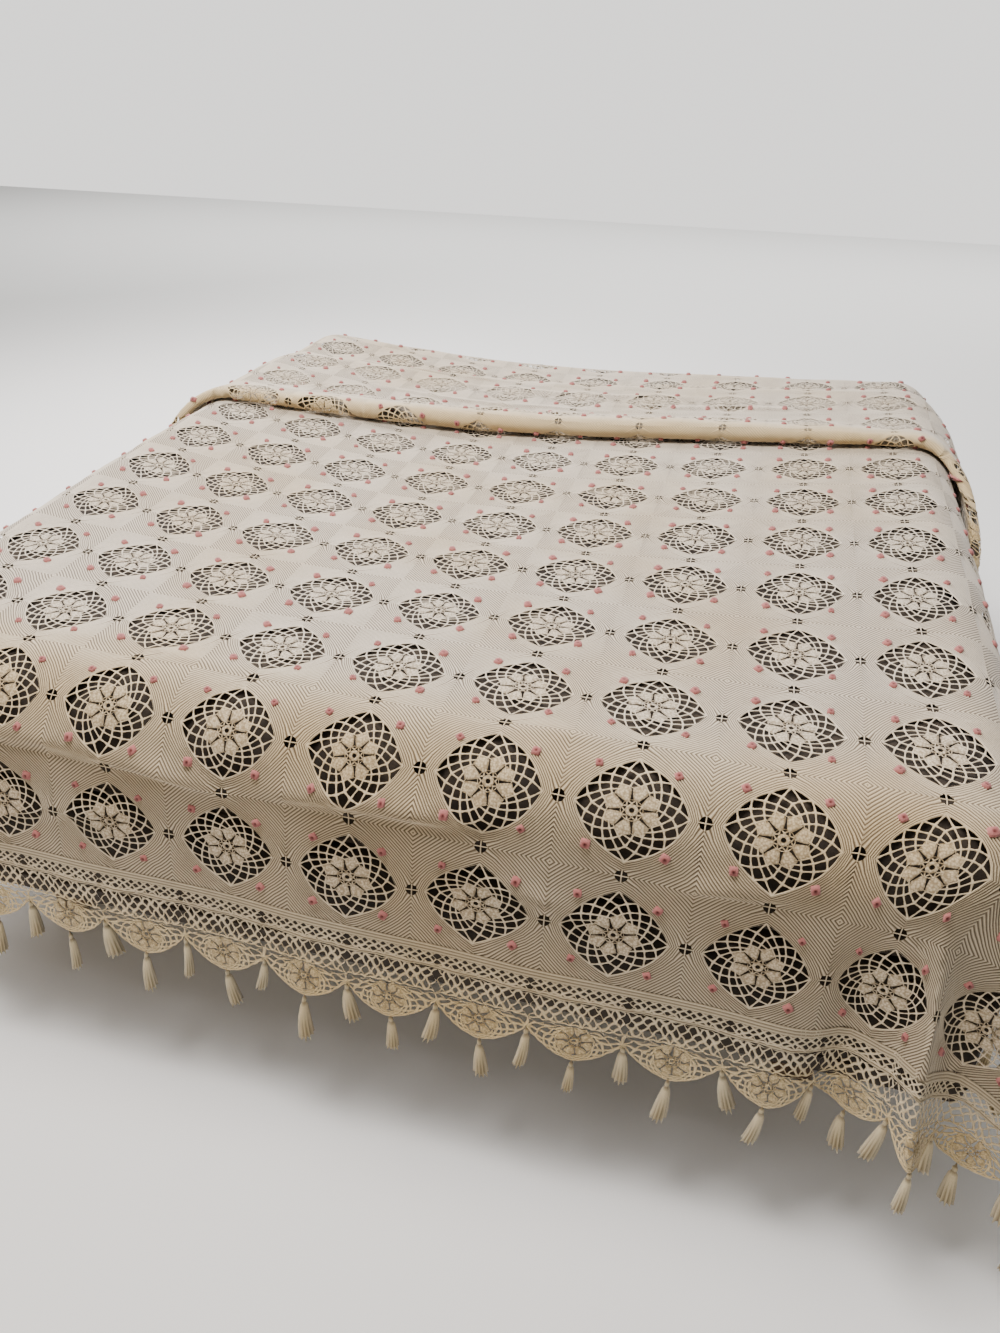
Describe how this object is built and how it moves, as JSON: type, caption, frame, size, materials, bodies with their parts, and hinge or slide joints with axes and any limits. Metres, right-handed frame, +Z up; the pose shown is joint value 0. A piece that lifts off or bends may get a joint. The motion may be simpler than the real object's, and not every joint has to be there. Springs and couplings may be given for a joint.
{
  "type": "crochet bedspread on a bed",
  "caption": "Crocheted openwork bedspread of joined square tiles with a scalloped tasselled lace border, draped over a plain bed and pleated across near the head.",
  "frame": {"origin": "on the floor, under the middle of the whole object's box", "axes": "+Z up, +Y from the foot of the bed towards its head, +X to the right as seen from the foot"},
  "size_m": [2.3232, 2.4724, 0.7869],
  "materials": {
    "crochet": "matt ecru cotton crochet with pink bobbles",
    "lace": "matt ecru cotton lace",
    "tassel_yarn": "matt ecru cotton yarn",
    "mattress_cover": "matt dark cover",
    "base_cover": "matt dark cover",
    "leg_wood": "satin dark wood"
  },
  "bodies": {
    "root": {"bedspread": "crochet", "lace_border": "lace", "tassels": "tassel_yarn", "mattress": "mattress_cover", "bed_base": "base_cover", "leg_foot_left": "leg_wood", "leg_foot_right": "leg_wood", "leg_head_left": "leg_wood", "leg_head_right": "leg_wood"}
  },
  "joints": []
}
